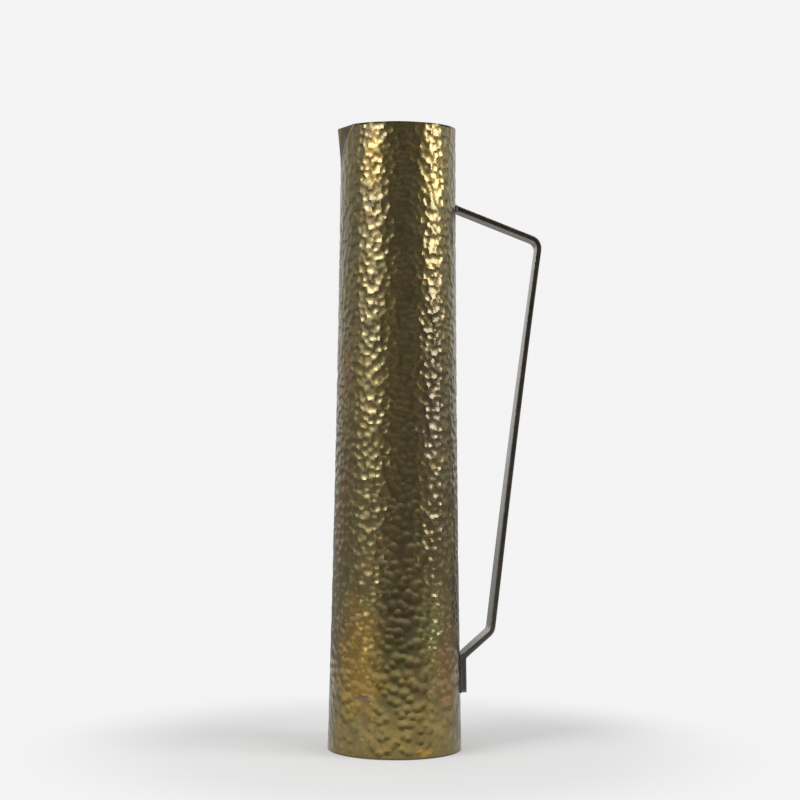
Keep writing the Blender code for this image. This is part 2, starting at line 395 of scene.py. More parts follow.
# What a blow does to the sheet. A struck face also lies SKIN lower, and up to SWELL more in slow waves.
NEAREST_BLOWS = 9
CURL_DEPTH = 0.00036
RIDGE_REACH = 0.00046
SKIN = 0.00018
SWELL = 0.00006
SWELL_SIZE = 0.030
FULLY_STRUCK = 0.99
OUTER_FACE_REACH = 0.0001

# The hammer keeps off each edge up to the first distance and strikes fully past the second.
LIP_MARGIN = (0.5 * MM, 2.5 * MM)
LIP_MARGIN_BELOW = 2 * MM
SEAM_MARGIN = (0.9 * MM, 2.4 * MM)
RIM_MARGIN = (0.2 * MM, 1.5 * MM)
FOOT_MARGIN = (0.6 * MM, 4.5 * MM)


def add_wall_section():
    """The outline of the wall's thickness in the XZ plane, cut finely outside and coarsely inside."""
    put_down_all()
    bpy.ops.mesh.primitive_plane_add(
        size=1, location=(BASE_RADIUS - SHEET / 2, 0, HEIGHT / 2), rotation=(math.pi / 2, 0, 0)
    )
    wall = name_piece("hammered_wall")
    wall.scale = (SHEET, HEIGHT, 1)
    settle()
    open_mesh()
    bpy.ops.mesh.delete(type="ONLY_FACE")
    bpy.ops.mesh.select_all(action="SELECT")
    bpy.ops.mesh.bevel(offset=EDGE_ROUND, segments=2, affect="VERTICES")
    middle_x = BASE_RADIUS - SHEET / 2
    divide(wall, lambda edge: upright(edge) and middle(edge).x > middle_x, *WALL_ROWS)
    divide(wall, lambda edge: upright(edge) and middle(edge).x < middle_x, INNER_ROWS)
    close_mesh()
    reshape(wall, lambda co: Vector((co.x - BASE_RADIUS + outer_radius(co.z), 0, co.z)))
    reshape(wall, lambda co: Matrix.Rotation(-SLIT_HALF_ANGLE, 3, "Z") @ co)
    return wall


def spin_wall(wall):
    """Turn the section round to the far side of the seam's slit and close its two ends."""
    take_up(wall)
    open_mesh()
    bpy.ops.mesh.spin(
        steps=WALL_COLUMNS, angle=math.tau - 2 * SLIT_HALF_ANGLE, center=(0, 0, 0), axis=(0, 0, 1)
    )
    pick(wall, "EDGE", lambda edge: edge.is_boundary)
    bpy.ops.mesh.fill_holes(sides=0)
    face_outward()
    close_mesh()


def notch_wall(wall):
    """Cut the lip's V out of the rim with a three-sided wedge."""
    top = HEIGHT + LIP_DEPTH / 2
    tall = top - (HEIGHT - LIP_DEPTH)
    put_down_all()
    bpy.ops.mesh.primitive_cylinder_add(vertices=3, radius=1, depth=1)
    wedge = name_piece("lip_wedge")
    corners = sorted(
        {(round(vertex.co.x, 4), round(vertex.co.y, 4)) for vertex in wedge.data.vertices},
        key=lambda corner: corner[1],
    )
    low_y, high_y = corners[0][1], corners[-1][1]
    half_x = max(x for x, y in corners)
    flip = corners[0][1] == corners[1][1]

    def place(co):
        """Lay the wedge along -X with its point down."""
        up = (high_y - co.y) / (high_y - low_y) if flip else (co.y - low_y) / (high_y - low_y)
        x = -BASE_RADIUS + (co.z + 0.5) * (BASE_RADIUS / 2) - LIP_HALF_WIDTH / 2
        return Vector((x, co.x / half_x * lip_half_width(top), HEIGHT - LIP_DEPTH + tall * up))

    reshape(wedge, place)
    take_up(wedge)
    open_mesh()
    face_outward()
    close_mesh()
    apply_modifier(wall, "lip_notch", "BOOLEAN", operation="DIFFERENCE", object=wedge, solver="EXACT")
    bpy.data.objects.remove(wedge)


def hammer_blows(sizes):
    """Each blow's place, the bow of its dish, its depth and its tone, in rows that climb round the wall."""
    chance = random.Random(sizes.seed)
    blows = []
    z = -(SPIRAL_ROWS + 1) * sizes.foot_blow_spacing
    while z < HEIGHT + sizes.blow_spacing:
        spacing = sizes.blow_spacing
        spacing += (sizes.foot_blow_spacing - sizes.blow_spacing) * (1 - fade(z, 0, 2 * FOOT_BAND))
        radius = outer_radius(min(max(z, 0), HEIGHT))
        count = round(math.tau * radius / spacing)
        start = chance.random()
        for i in range(count):
            turn = (i + start + chance.uniform(-BLOW_JITTER, BLOW_JITTER)) / count
            rise = SPIRAL_ROWS * turn * ROW_PITCH + chance.uniform(-BLOW_JITTER, BLOW_JITTER)
            height = z + rise * spacing
            angle = math.tau * turn
            place = Vector((radius * math.cos(angle), radius * math.sin(angle), height))
            face = sizes.face_radius * chance.uniform(*FACE_RANGE) * spacing / sizes.blow_spacing
            force = chance.uniform(*FORCE) * (MEAN_FORCE + FORCE_DRIFT * noise.noise(place / FORCE_SIZE))
            force *= FOOT_FORCE + (1 - FOOT_FORCE) * fade(height, 0, FOOT_BAND)
            tone = chance.random()
            if chance.random() > MISSED_BLOWS:
                blows.append((place, 0.5 / face, sizes.blow_depth * force, tone))
        z += spacing * ROW_PITCH
    return blows


def spared(co):
    """How far the hammer keeps off the rim, the foot, the seam and the lip: 0 is untouched, 1 is full."""
    off_lip = 1.0
    if co.x < 0 and co.z > HEIGHT - LIP_DEPTH - LIP_MARGIN_BELOW:
        off_lip = fade(abs(co.y) - lip_half_width(co.z), *LIP_MARGIN)
    off_seam = fade(abs(co.y), *SEAM_MARGIN) if co.x > 0 else 1.0
    off_rim = fade(HEIGHT - co.z, *RIM_MARGIN)
    off_foot = fade(co.z, *FOOT_MARGIN)
    return off_lip * off_seam * off_rim * off_foot


def dishes_at(co, tree, blows):
    """The two deepest dishes over a point, deepest first: depth there, slope and tone of each."""
    found = []
    for place, i, distance in tree.find_n(co, NEAREST_BLOWS):
        bow, depth, tone = blows[i][1:]
        sag = distance * distance * bow
        curl = sag / CURL_DEPTH
        deep = depth - sag * (1 + curl)
        found.append((deep, (place - co) * (2 * bow * (1 + 2 * curl)), tone))
    found.sort(key=lambda dish: -dish[0])
    return found[0], found[1]


def onto_ridge(co, tree, blows):
    """Shift a point sideways onto the ridge between its two dishes, if that ridge is near."""
    first, second = dishes_at(co, tree, blows)
    steep = first[1] - second[1]
    if steep.length < 1e-6:
        return co
    shift = steep * ((second[0] - first[0]) / steep.length_squared)
    outward = Vector((co.x, co.y, 0)).normalized()
    shift -= outward * shift.dot(outward)
    if shift.length > RIDGE_REACH:
        return co
    moved = co + shift
    scale = outer_radius(moved.z) / math.hypot(moved.x, moved.y)
    return Vector((moved.x * scale, moved.y * scale, moved.z))


def hammer_wall(wall, sizes):
    """Weigh every vertex of the outer face by how deep the blows drove it, and displace it by that."""
    blows = hammer_blows(sizes)
    tree = kdtree.KDTree(len(blows))
    for i, blow in enumerate(blows):
        tree.insert(blow[0], i)
    tree.balance()
    deepest = sizes.blow_depth + SKIN + SWELL
    group = wall.vertex_groups.new(name="hammering")
    marks = []
    tones = []
    for vertex in wall.data.vertices:
        driven = 0.0
        tone = 0.5
        keep = spared(vertex.co)
        radius = math.hypot(vertex.co.x, vertex.co.y)
        if keep > 0 and radius > outer_radius(vertex.co.z) - OUTER_FACE_REACH:
            if keep > FULLY_STRUCK:
                vertex.co = onto_ridge(vertex.co, tree, blows)
            first, second = dishes_at(vertex.co, tree, blows)
            tone = first[2]
            swell = (noise.noise(vertex.co / SWELL_SIZE) + 1) / 2 * SWELL
            driven = min(1.0, max(0.0, first[0] + SKIN + swell) * keep / deepest)
            group.add([vertex.index], driven, "REPLACE")
        marks.append(driven)
        tones.append(tone)
    write_attribute(wall, "hammering_depth", marks)
    write_attribute(wall, "blow_tone", tones)
    apply_modifier(
        wall, "hammering", "DISPLACE", strength=-deepest, mid_level=0.0, vertex_group="hammering"
    )


# ---------------------------------------------------------------- shader building

def connect(tree, node, sockets):
    """Set a node's sockets to values, or link them to other nodes' sockets."""
    for key, value in sockets.items():
        if isinstance(value, bpy.types.NodeSocket):
            tree.links.new(value, node.inputs[key])
        else:
            node.inputs[key].default_value = value


def add_node(tree, kind, sockets=None, **settings):
    """A shader node with its settings and its sockets."""
    node = tree.nodes.new("ShaderNode" + kind)
    for key, value in settings.items():
        setattr(node, key, value)
    connect(tree, node, sockets or {})
    return node


def maths(tree, operation, a, b=0.0):
    """A Math node's result."""
    return add_node(tree, "Math", {0: a, 1: b}, operation=operation).outputs[0]


def tint(tree, share, first, second):
    """Mix one colour into another by a share. A colour is a socket or three numbers."""
    sockets = {0: share}
    for key, colour in ((6, first), (7, second)):
        sockets[key] = colour if isinstance(colour, bpy.types.NodeSocket) else (*colour, 1)
    return add_node(tree, "Mix", sockets, data_type="RGBA").outputs[2]


def wash(tree, mask, strength, under, over):
    """Lay one colour over another where a mask says, at a strength."""
    return tint(tree, maths(tree, "MULTIPLY", mask, strength), under, over)


def spread(tree, value, low, high, to_low=0.0, to_high=1.0):
    """Stretch the part of a value between low and high over another range, softly."""
    sockets = {0: value, 1: low, 2: high, 3: to_low, 4: to_high}
    return add_node(tree, "MapRange", sockets, interpolation_type="SMOOTHSTEP").outputs[0]


def new_group(name, inputs, outputs):
    """An empty node group with named sockets. Inputs are name: (kind, default)."""
    tree = bpy.data.node_groups.new(name, "ShaderNodeTree")
    for key, (kind, default) in inputs.items():
        socket = tree.interface.new_socket(key, in_out="INPUT", socket_type="NodeSocket" + kind)
        socket.default_value = default
    for key, kind in outputs.items():
        tree.interface.new_socket(key, in_out="OUTPUT", socket_type="NodeSocket" + kind)
    source = tree.nodes.new("NodeGroupInput").outputs
    sink = tree.nodes.new("NodeGroupOutput").inputs
    return tree, source, sink


def use_group(tree, name, sockets):
    """Place a node group and give it its values."""
    node = tree.nodes.new("ShaderNodeGroup")
    node.node_tree = bpy.data.node_groups[name]
    connect(tree, node, sockets)
    return node.outputs


def object_place(tree):
    """The point on the piece, in its own frame."""
    return add_node(tree, "TexCoord").outputs["Object"]


def object_height(tree):
    """The point's height on the piece."""
    return add_node(tree, "SeparateXYZ", {0: object_place(tree)}).outputs["Z"]


def attribute(tree, name):
    """A number that the piece keeps for each vertex."""
    return add_node(tree, "Attribute", attribute_name=name).outputs["Fac"]


def make_cloud_group():
    """Soft irregular patches of patina."""
    tree, given, result = new_group(
        "Patina cloud",
        {"Size": ("Float", 0.03), "Squeeze": ("Float", 1.0), "Shift": ("Float", 0.0),
         "Low": ("Float", 0.4), "High": ("Float", 0.6)},
        {"Mask": "Float"},
    )
    where = object_place(tree)
    squeeze = add_node(tree, "CombineXYZ", {0: 1.0, 1: 1.0, 2: given["Squeeze"]}).outputs[0]
    spot = add_node(tree, "VectorMath", {0: where, 1: squeeze}, operation="MULTIPLY").outputs[0]
    scale = maths(tree, "DIVIDE", 1.0, given["Size"])
    sockets = {"Vector": spot, "W": given["Shift"], "Scale": scale, "Detail": 5.0, "Roughness": 0.55}
    haze = add_node(tree, "TexNoise", sockets, noise_dimensions="4D").outputs["Fac"]
    tree.links.new(spread(tree, haze, given["Low"], given["High"]), result["Mask"])


def make_stain_and_light_group():
    """One patch with a ragged edge, at a place on the piece, for stains and for painted highlight and
    shade.
    """
    tree, given, result = new_group(
        "Stain and light patch",
        {"Place": ("Vector", (0, 0, 0)), "Reach": ("Vector", (0.02, 0.02, 0.03)), "Ragged": ("Float", 0.6)},
        {"Mask": "Float"},
    )
    where = object_place(tree)
    offset = add_node(tree, "VectorMath", {0: where, 1: given["Place"]}, operation="SUBTRACT").outputs[0]
    scaled = add_node(tree, "VectorMath", {0: offset, 1: given["Reach"]}, operation="DIVIDE").outputs[0]
    away = add_node(tree, "VectorMath", {0: scaled}, operation="LENGTH").outputs["Value"]
    ragged = add_node(tree, "TexNoise", {"Vector": where, "Scale": 110.0, "Detail": 4.0}).outputs["Fac"]
    ragged = maths(tree, "MULTIPLY", maths(tree, "SUBTRACT", ragged, 0.5), given["Ragged"])
    away = maths(tree, "ADD", away, maths(tree, "MULTIPLY", ragged, 2.0))
    tree.links.new(spread(tree, away, 1.0, 0.35), result["Mask"])


def make_grain_group():
    """The fine tooth of old metal, as a height and as a mottle for the colour."""
    tree, given, result = new_group(
        "Metal grain", {"Size": ("Float", 0.0006)}, {"Height": "Float", "Mottle": "Float"}
    )
    where = object_place(tree)
    scale = maths(tree, "DIVIDE", 1.0, given["Size"])
    fine = add_node(tree, "TexNoise", {"Vector": where, "Scale": scale, "Detail": 3.0}).outputs["Fac"]
    broad = add_node(
        tree, "TexNoise", {"Vector": where, "Scale": maths(tree, "MULTIPLY", scale, 0.18), "Detail": 4.0}
    ).outputs["Fac"]
    tree.links.new(fine, result["Height"])
    tree.links.new(spread(tree, broad, 0.3, 0.7), result["Mottle"])


def make_wear_group():
    """Where hands and cloths have rubbed the high edges, from the piece's own wear attribute."""
    tree, given, result = new_group(
        "Edge wear", {"Low": ("Float", 0.4), "High": ("Float", 0.8)}, {"Mask": "Float"}
    )
    mask = spread(tree, attribute(tree, "wear"), given["Low"], given["High"])
    tree.links.new(mask, result["Mask"])


def make_groups():
    """Build the shared effects once."""
    if "Patina cloud" not in bpy.data.node_groups:
        make_cloud_group()
        make_stain_and_light_group()
        make_grain_group()
        make_wear_group()


def cloud(tree, size, squeeze, shift, low, high):
    """A patina cloud's mask. A squeeze under 1 draws its patches out along Z, shift picks another cloud."""
    sockets = {"Size": size, "Squeeze": squeeze, "Shift": shift, "Low": low, "High": high}
    return use_group(tree, "Patina cloud", sockets)["Mask"]


def edge_wear(tree, low, high):
    """The mask of rubbed edges."""
    return use_group(tree, "Edge wear", {"Low": low, "High": high})["Mask"]


def new_metal(name):
    """A metal material: its tree and its shader."""
    make_groups()
    material = bpy.data.materials.new(name)
    material.use_nodes = True
    tree = material.node_tree
    shader = tree.nodes["Principled BSDF"]
    shader.inputs["Metallic"].default_value = 1.0
    return material, tree, shader


def plug(tree, shader, colour, roughness, height, bump):
    """Connect a metal's colour, roughness and bump."""
    tree.links.new(colour, shader.inputs["Base Color"])
    tree.links.new(roughness, shader.inputs["Roughness"])
    normal = add_node(tree, "Bump", {"Height": height, "Strength": 1.0, "Distance": bump})
    tree.links.new(normal.outputs["Normal"], shader.inputs["Normal"])


def plug_grain(tree, shader, colour, grain_size, smoothest, roughest, bump=0.02 * MM):
    """Connect a metal whose roughness and bump both come from its grain."""
    grain = use_group(tree, "Metal grain", {"Size": grain_size})
    rough = spread(tree, grain["Mottle"], 0.0, 1.0, smoothest, roughest)
    plug(tree, shader, colour, rough, grain["Height"], bump)


def mark_wear(obj, reach=0.05 * MM):
    """Keep how far each vertex stands proud of its neighbours as wear, from 0 for hollow to 1 for proud."""
    mesh = obj.data
    total = [Vector((0, 0, 0)) for _ in mesh.vertices]
    count = [0] * len(mesh.vertices)
    for edge in mesh.edges:
        a, b = edge.vertices
        total[a] += mesh.vertices[b].co
        total[b] += mesh.vertices[a].co
        count[a] += 1
        count[b] += 1
    values = []
    for vertex, near, many in zip(mesh.vertices, total, count):
        proud = (vertex.co - near / max(1, many)).dot(vertex.normal)
        values.append(min(1.0, max(0.0, 0.5 + proud / reach / 2)))
    write_attribute(obj, "wear", values)


# How far a face must turn towards the vessel to take the painted reflection.
REFLECTION_FACE_TURN = (0.20, 0.33)


def mark_reflection_face(obj):
    """Keep how far each vertex looks towards the vessel, as the side of the bar that gets a painted
    reflection.
    """
    write_attribute(obj, "reflection_face", [fade(-vertex.normal.x, *REFLECTION_FACE_TURN) for vertex in obj.data.vertices])


# ---------------------------------------------------------------- the metals

# Stains on the wall, and painted highlight and shade on its right band of reflection: colour, turn in
# degrees from the handle, height, half width, half height, strength.
STAINS_AND_BAND_LIGHT = (
    ("copper", -152, 0.235, 0.009, 0.020, 0.55),
    ("copper", -157, 0.150, 0.011, 0.045, 0.60),
    ("copper", -159, 0.2215, 0.005, 0.007, 0.85),
    ("amber", -121, 0.360, 0.008, 0.026, 0.50),
    ("amber", -131, 0.060, 0.026, 0.046, 0.70),
    ("copper", -44, 0.052, 0.013, 0.034, 0.60),
    ("moss", -119, 0.250, 0.012, 0.014, 0.50),
    ("moss", -101, 0.062, 0.018, 0.020, 0.45),
    ("plum", -62, 0.196, 0.012, 0.034, 0.55),
    ("umber", -92, 0.088, 0.016, 0.024, 0.50),
    ("moss", -68, 0.012, 0.015, 0.005, 0.80),
    ("umber", -74, 0.016, 0.007, 0.007, 0.60),
    ("amber", -71, 0.004, 0.007, 0.003, 0.90),
    ("plum", -124, 0.036, 0.006, 0.003, 0.75),
    ("green", -57, 0.331, 0.006, 0.007, 0.60),
    ("green", -64, 0.078, 0.014, 0.020, 0.50),
    # Painted highlight and shade: gold at the top and umber lower down the right band of reflection make it
    # bright above and dim below.
    ("gold", -59, 0.355, 0.012, 0.036, 0.90),
    ("umber", -58, 0.235, 0.013, 0.055, 0.75),
    ("umber", -58, 0.140, 0.013, 0.045, 0.40),
    ("gold", -171, 0.130, 0.010, 0.075, 0.65),
    ("copper", -16, 0.140, 0.010, 0.050, 0.45),
    ("umber", -20, 0.022, 0.016, 0.022, 0.45),
    ("umber", -176, 0.020, 0.014, 0.022, 0.45),
    ("gold", -84, 0.018, 0.034, 0.022, 0.35),
    ("copper", 40, 0.110, 0.016, 0.040, 0.50),
    ("moss", 75, 0.260, 0.018, 0.030, 0.50),
    ("amber", 130, 0.180, 0.016, 0.030, 0.50),
    ("plum", 165, 0.300, 0.012, 0.030, 0.45),
    ("umber", 100, 0.050, 0.020, 0.024, 0.45),
)


def lay_stains_and_band_light(tree, colour, colours):
    """Lay the stains, and the painted highlight and shade of the right reflection band, over the wall's
    colour one by one.
    """
    for key, turn, height, half_width, half_height, strength in STAINS_AND_BAND_LIGHT:
        angle = math.radians(turn)
        radius = outer_radius(height)
        reach = (half_width, half_width, half_height)
        place = (radius * math.cos(angle), radius * math.sin(angle), height)
        stain_and_light_mask = use_group(tree, "Stain and light patch", {"Place": place, "Reach": reach, "Ragged": 0.7})["Mask"]
        colour = wash(tree, stain_and_light_mask, strength, colour, getattr(colours, key))
    return colour


def hammered_brass(colours):
    """Olive brass with gold where it is rubbed and warm, green and dark patina, with painted shade along
    the ridges between the dishes and painted highlight and shade down the right band of reflection.
    """
    material, tree, shader = new_metal("hammered_brass")
    grain = use_group(tree, "Metal grain", {"Size": 0.0009})
    height = object_height(tree)
    dark = cloud(tree, 0.014, 0.8, 11.3, 0.50, 0.75)
    colour = wash(tree, cloud(tree, 0.045, 0.55, 0.0, 0.38, 0.66), 0.45, colours.olive, colours.gold)
    colour = wash(tree, cloud(tree, 0.022, 0.6, 3.1, 0.54, 0.70), 0.42, colour, colours.copper)
    colour = wash(tree, cloud(tree, 0.017, 0.7, 7.7, 0.56, 0.72), 0.45, colour, colours.green)
    colour = wash(tree, dark, 0.35, colour, colours.umber)

    tone = attribute(tree, "blow_tone")
    colour = wash(tree, spread(tree, tone, 0.55, 1.0), 0.30, colour, colours.gold)
    colour = wash(tree, spread(tree, tone, 0.45, 0.0), 0.30, colour, colours.green)
    depth = attribute(tree, "hammering_depth")
    hollow = spread(tree, depth, 0.55, 1.0)
    # Painted shade: umber along the ridges between the dishes draws a dark outline round each hammer mark.
    ridge = spread(tree, depth, 0.42, 0.12)
    colour = wash(tree, hollow, 0.10, colour, colours.umber)
    colour = wash(tree, ridge, 0.45, colour, colours.umber)
    colour = wash(tree, edge_wear(tree, 0.45, 0.80), 0.20, colour, colours.gold)

    colour = lay_stains_and_band_light(tree, colour, colours)
    colour = wash(tree, grain["Mottle"], 0.30, colour, colours.umber)
    foot = spread(tree, height, 1.6 * MM, 0.5 * MM)
    rim = spread(tree, height, HEIGHT - 1.4 * MM, HEIGHT - 0.5 * MM)
    colour = wash(tree, maths(tree, "MAXIMUM", foot, rim), 0.75, colour, colours.umber)

    tree.links.new(spread(tree, height, 0.0, 0.12, 0.25, 1.0), shader.inputs["Coat Weight"])
    shader.inputs["Coat IOR"].default_value = 1.55
    shader.inputs["Coat Roughness"].default_value = 0.17
    rough = spread(tree, dark, 0.0, 1.0, 0.25, 0.36)
    rough = maths(tree, "ADD", rough, maths(tree, "MULTIPLY", grain["Mottle"], 0.06))
    plug(tree, shader, colour, rough, grain["Height"], 0.02 * MM)
    return material


def inner_brass(colours):
    """The inside: plain sheet gone dull and brown."""
    material, tree, shader = new_metal("inner_brass")
    colour = tint(tree, cloud(tree, 0.03, 0.4, 2.0, 0.35, 0.7), colours.olive, colours.umber)
    plug_grain(tree, shader, colour, 0.0012, 0.38, 0.50)
    return material


def lip_brass(colours):
    """The lip's plain sheet, darker than the wall, with upright bands of bloom."""
    material, tree, shader = new_metal("lip_brass")
    colour = tint(tree, cloud(tree, 0.006, 0.25, 5.0, 0.4, 0.65), colours.plum, colours.umber)
    colour = wash(tree, cloud(tree, 0.008, 0.35, 9.0, 0.45, 0.6), 0.6, colour, colours.moss)
    low = spread(tree, object_height(tree), HEIGHT - 8 * MM, HEIGHT - 18 * MM)
    colour = wash(tree, low, 0.8, colour, colours.strap)
    colour = wash(tree, edge_wear(tree, 0.55, 0.85), 0.6, colour, colours.gold)
    plug_grain(tree, shader, colour, 0.0008, 0.30, 0.40)
    return material


def strap_brass(colours):
    """Drawn bar with a dark brown-grey patina, rubbed along its edges, and a painted reflection making its
    inner face pale grey.
    """
    material, tree, shader = new_metal("strap_brass")
    colour = wash(tree, cloud(tree, 0.012, 0.5, 1.0, 0.42, 0.62), 0.6, colours.strap, colours.slate)
    colour = wash(tree, cloud(tree, 0.02, 0.5, 6.0, 0.45, 0.7), 0.4, colour, colours.umber)
    tab = spread(tree, object_height(tree), TAB_TOP_HEIGHT + 16 * MM, TAB_TOP_HEIGHT)
    # Painted reflection: faces looking towards the vessel are washed pale grey, as if mirroring the bright
    # floor, fading out on the tab.
    painted_reflection = maths(tree, "MULTIPLY", attribute(tree, "reflection_face"), maths(tree, "SUBTRACT", 1.0, tab))
    colour = wash(tree, painted_reflection, 0.80, colour, colours.painted_reflection)
    colour = wash(tree, tab, 0.7, colour, colours.slate)
    colour = wash(tree, edge_wear(tree, 0.55, 0.80), 0.55, colour, colours.worn)
    shader.inputs["Coat Weight"].default_value = 0.8
    shader.inputs["Coat Roughness"].default_value = 0.25
    plug_grain(tree, shader, colour, 0.0007, 0.30, 0.44)
    return material


def joint_metal(name, bare, stained, roughness):
    """Braze or solder: uneven, pitted filler."""
    material, tree, shader = new_metal(name)
    colour = tint(tree, cloud(tree, 0.005, 1.0, 4.0, 0.4, 0.65), bare, stained)
    colour = wash(tree, edge_wear(tree, 0.5, 0.85), 0.4, colour, bare)
    shader.inputs["Coat Weight"].default_value = 0.5
    plug_grain(tree, shader, colour, 0.0005, roughness - 0.05, roughness + 0.1, 0.05 * MM)
    return material


def base_brass(colours):
    """The bottom disc: dull, with dark clouds."""
    material, tree, shader = new_metal("base_brass")
    colour = tint(tree, cloud(tree, 0.02, 1.0, 8.0, 0.4, 0.6), colours.olive, colours.umber)
    plug_grain(tree, shader, colour, 0.0010, 0.38, 0.52, 0.03 * MM)
    return material


# ---------------------------------------------------------------- the pieces

def make_wall(sizes, colours):
    """The hammered tube."""
    wall = add_wall_section()
    spin_wall(wall)
    notch_wall(wall)
    hammer_wall(wall, sizes)
    mark_wear(wall)
    wall.data.materials.append(hammered_brass(colours))
    wall.data.materials.append(inner_brass(colours))
    for face in wall.data.polygons:
        outward = face.normal.x * face.center.x + face.normal.y * face.center.y
        face.material_index = 0 if outward > 0 or abs(face.normal.z) > 0.5 else 1
    smooth(wall, RIDGE_ANGLE)
    finish_piece(wall, "hammered_brass", "body_wall")


SEAM_PARTS = (6, 25)
SEAM_WIDTH = 0.00188
SEAM_DEPTH = 0.00108
SEAM_ROUND = 0.00015
SEAM_LUMP_SIZE = 2.4 * MM
SEAM_LUMP_SQUEEZE = 0.6
SEAM_WANDER = 0.03 * MM
SEAM_SWELL = 0.08


def make_seam(sizes, colours):
    """The bead of braze that fills the wall's slit, dressed nearly level with the file."""
    steps = math.prod(SEAM_PARTS)
    heights = [HEIGHT * i / steps for i in range(steps + 1)]
    path = [Vector((outer_radius(z) - SHEET / 2, 0, z)) for z in heights]
    length = path_lengths(path)[-1]
    seam = add_bar("seam_braze", SEAM_DEPTH, SEAM_WIDTH, length, SEAM_ROUND, *SEAM_PARTS)
    bend_along(seam, path, Vector((0, 1, 0)))
    phase = random.Random(sizes.seed + 1).uniform(0, 10)

    def dress(co):
        """Let the bead wander and swell a little along its length."""
        spot = Vector((co.x, co.y, co.z * SEAM_LUMP_SQUEEZE)) / SEAM_LUMP_SIZE
        lump = noise.noise(spot + Vector((phase, 0, 0)))
        wide = outer_radius(co.z) / RIM_RADIUS + SEAM_SWELL * abs(lump)
        return Vector((co.x + SEAM_WANDER * lump, co.y * wide, min(HEIGHT, max(0.0, co.z))))

    reshape(seam, dress)
    mark_wear(seam)
    seam.data.materials.append(joint_metal("braze", colours.braze, colours.olive, 0.36))
    smooth(seam, 50)
    finish_piece(seam, "braze", "body_seam")


LIP_COLUMNS = 16
LIP_ROWS = 26
LIP_FOLD = 0.10
LIP_LIFT = 0.0012
LIP_EDGE_ROUND = 0.00015


def fold_profile(across):
    """How far a point is out of the lip's fold: 0 on it, 1 at the sheet's edge, with a round start."""
    return (math.hypot(across, LIP_FOLD) - LIP_FOLD) / (math.hypot(1, LIP_FOLD) - LIP_FOLD)


def make_lip(colours):
    """The lip: a small sheet folded down its middle and let into the V."""
    put_down_all()
    bpy.ops.mesh.primitive_grid_add(x_subdivisions=LIP_COLUMNS, y_subdivisions=LIP_ROWS, size=2)
    lip = name_piece("pouring_lip")
    low = HEIGHT - LIP_DEPTH + LIP_LIFT

    def fold(co):
        """Take a point of the flat sheet to its place on the folded one."""
        across, up = co.x, (co.y + 1) / 2
        edge_z = low + (HEIGHT - low) * up
        half = lip_half_width(edge_z)
        edge = on_wall(half, edge_z)
        fold_x = -outer_radius(low) - (LIP_REACH - outer_radius(low)) * up
        fold_z = edge_z - LIP_TIP_SAG * up
        x = fold_x + (edge.x - fold_x) * fold_profile(across)
        z = fold_z + (edge_z - fold_z) * abs(across)
        return Vector((x, half * across, z))

    reshape(lip, fold)
    take_up(lip)
    open_mesh()
    face_outward()
    close_mesh()
    face = lip.data.polygons[len(lip.data.polygons) // 2]
    if face.normal.x > 0:
        lip.data.flip_normals()
    apply_modifier(lip, "sheet", "SOLIDIFY", thickness=SHEET, offset=-1.0)
    apply_modifier(
        lip, "eased", "BEVEL",
        width=LIP_EDGE_ROUND, segments=2, limit_method="ANGLE", angle_limit=math.radians(50),
    )
    mark_wear(lip)
    lip.data.materials.append(lip_brass(colours))
    smooth(lip, 40)
    finish_piece(lip, "spout_brass", "spout")


LIP_BEAD_STEPS = 24
LIP_BEAD_SINK = 0.45
LIP_BEAD_SIDES = 12
LIP_BEAD_PARTS = (6, 12)
LIP_BEAD_LUMP = Vector((0, 0, 0.04 * MM))
LIP_BEAD_LUMP_SIZE = 1.5 * MM


def make_lip_solder(sizes, colours):
    """The bead of solder down one side of the lip and up the other."""
    apex = HEIGHT - LIP_DEPTH
    path = []
    for i in range(-LIP_BEAD_STEPS, LIP_BEAD_STEPS + 1):
        up = abs(i) / LIP_BEAD_STEPS
        z = apex + LIP_DEPTH * up - (sizes.bead if up == 1 else 0)
        side = -1 if i < 0 else 1
        path.append(on_wall(side * lip_half_width(z), z, sizes.bead * LIP_BEAD_SINK))
    bead = add_rod("lip_solder", path_lengths(path)[-1], sizes.bead, LIP_BEAD_SIDES, *LIP_BEAD_PARTS)
    bend_along(bead, path, Vector((1, 0, 0)))
    reshape(bead, lambda co: co + LIP_BEAD_LUMP * noise.noise(co / LIP_BEAD_LUMP_SIZE))
    mark_wear(bead)
    # The bead's pale metal is partly a painted highlight along the crease beside the lip.
    bead.data.materials.append(joint_metal("lip_braze_and_highlight", colours.lip_braze_and_highlight, colours.braze, 0.3))
    smooth(bead, 60)
    finish_piece(bead, "braze", "spout_solder")


BEND_STEPS = 14
RUN_STEP = 0.004
STRAP_PARTS = (8, 28)
STRAP_OVERRUN = 4 * MM
CORE_SIDES = 96
CORE_LENGTH = 0.05


def round_corner(before, corner, after, twists):
    """Points along the arc that rounds the corner of two straight runs, each with its twist."""
    here = Vector(corner[:2])
    into = (here - Vector(before[:2])).normalized()
    away = (Vector(after[:2]) - here).normalized()
    turned = into.angle(away)
    side = math.copysign(1, into.cross(away))
    inward = Vector((-into.y, into.x)) * side
    radius = corner[2]
    centre = here - into * radius * math.tan(turned / 2) + inward * radius
    steps = max(BEND_STEPS, round(turned * radius / RUN_STEP))
    arc = []
    for i in range(steps + 1):
        part = i / steps
        angle = turned * part
        point = centre + (into * math.sin(angle) - inward * math.cos(angle)) * radius
        arc.append((point, twists[0] + (twists[1] - twists[0]) * part))
    return arc


